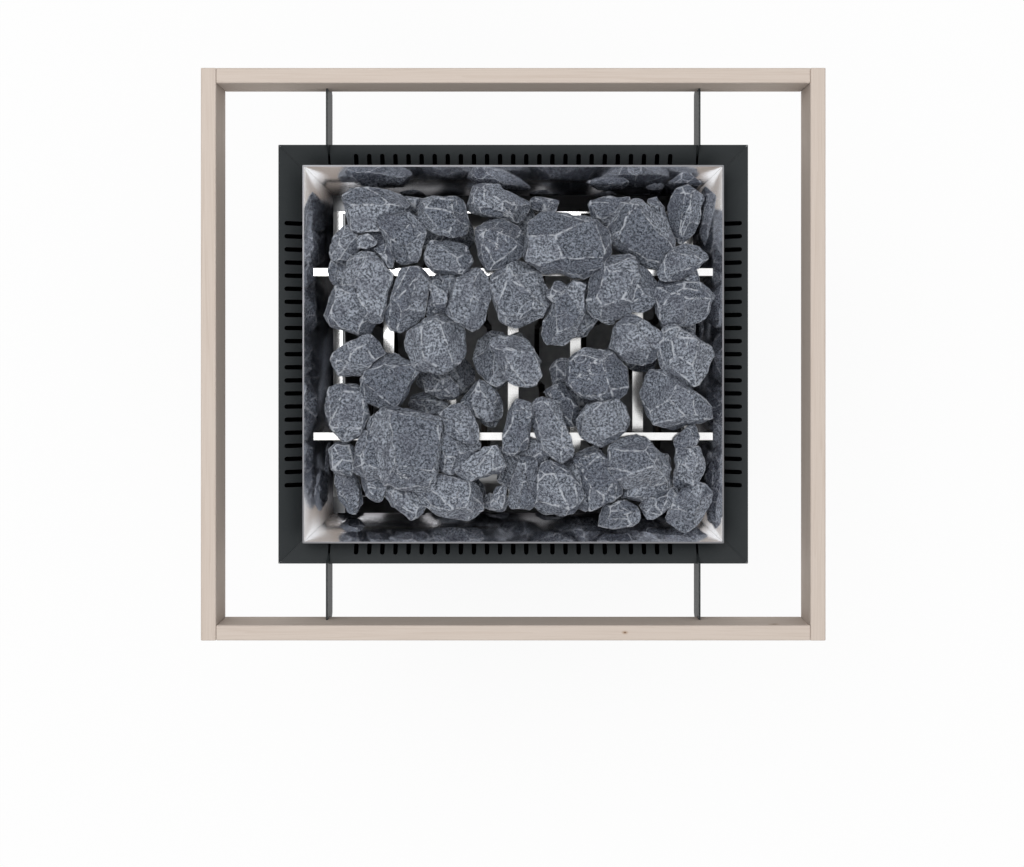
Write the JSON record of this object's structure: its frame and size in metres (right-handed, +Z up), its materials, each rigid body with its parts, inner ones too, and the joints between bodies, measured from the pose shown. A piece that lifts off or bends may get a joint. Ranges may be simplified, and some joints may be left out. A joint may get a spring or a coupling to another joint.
{
  "type": "sauna heater stove",
  "caption": "Floor-standing electric sauna heater: box casing with slotted sloping rim, flared collar, stone heap on a grate over heating elements, lift-off timber guard rail.",
  "frame": {"origin": "on the floor under the middle of the bounding box", "axes": "+Z up, front towards -Y, +X to the right seen from the front"},
  "size_m": [0.694, 0.636, 0.84],
  "materials": {
    "anthracite": "matt powder coat",
    "polished": "bright polished stainless sheet",
    "steel": "plain zinc-coated sheet",
    "bracket": "plain steel plate",
    "element": "heat-darkened tube",
    "stone": "broken rock faces with worn pale edges",
    "timber": "planed, pale limed",
    "plastic": "moulded",
    "ceramic": "unglazed"
  },
  "bodies": {
    "stove": {"base_frame": "anthracite", "cable_gland": "plastic", "casing_back": "anthracite", "casing_front": "anthracite", "casing_left": "anthracite", "casing_right": "anthracite", "chamber_back": "steel", "chamber_front": "steel", "chamber_left": "steel", "chamber_right": "steel", "collar_back": "polished", "collar_front": "polished", "collar_left": "polished", "collar_right": "polished", "cross_bar_back": "polished", "cross_bar_front": "polished", "element_carrier": "steel", "heating_element_1": "element", "heating_element_2": "element", "heating_element_3": "element", "heating_element_4": "element", "heating_element_5": "element", "heating_element_6": "element", "stone_grate": "polished", "stones_01": "stone", "stones_02": "stone", "stones_03": "stone", "stones_04": "stone", "stones_05": "stone", "stones_06": "stone", "stones_07": "stone", "stones_08": "stone", "stones_09": "stone", "stones_10": "stone", "stones_11": "stone", "stones_12": "stone", "stones_13": "stone", "stones_14": "stone", "stones_15": "stone", "stones_16": "stone", "stones_17": "stone", "stones_18": "stone", "terminal_block": "ceramic", "terminal_box": "steel", "terminal_cover": "steel"},
    "guard_rail": {"bracket_back_left": "bracket", "bracket_back_right": "bracket", "bracket_front_left": "bracket", "bracket_front_right": "bracket", "rail_back": "timber", "rail_front": "timber", "rail_left": "timber", "rail_right": "timber"},
    "foot_back_left": {"foot_back_left": "steel"},
    "foot_back_right": {"foot_back_right": "steel"},
    "foot_front_left": {"foot_front_left": "steel"},
    "foot_front_right": {"foot_front_right": "steel"}
  },
  "joints": [
    {"name": "guard_rail_lift", "type": "slide", "parent": "stove", "child": "guard_rail", "axis": [0, 0, 1], "range_m": [0, 0.06]},
    {"name": "foot_back_left_turn", "type": "hinge", "parent": "stove", "child": "foot_back_left", "pos_m": [-0.2357, 0.2067, 0], "axis": [0, 0, 1], "continuous": true},
    {"name": "foot_back_right_turn", "type": "hinge", "parent": "stove", "child": "foot_back_right", "pos_m": [0.2357, 0.2067, 0], "axis": [0, 0, 1], "continuous": true},
    {"name": "foot_front_left_turn", "type": "hinge", "parent": "stove", "child": "foot_front_left", "pos_m": [-0.2357, -0.2067, 0], "axis": [0, 0, 1], "continuous": true},
    {"name": "foot_front_right_turn", "type": "hinge", "parent": "stove", "child": "foot_front_right", "pos_m": [0.2357, -0.2067, 0], "axis": [0, 0, 1], "continuous": true}
  ]
}
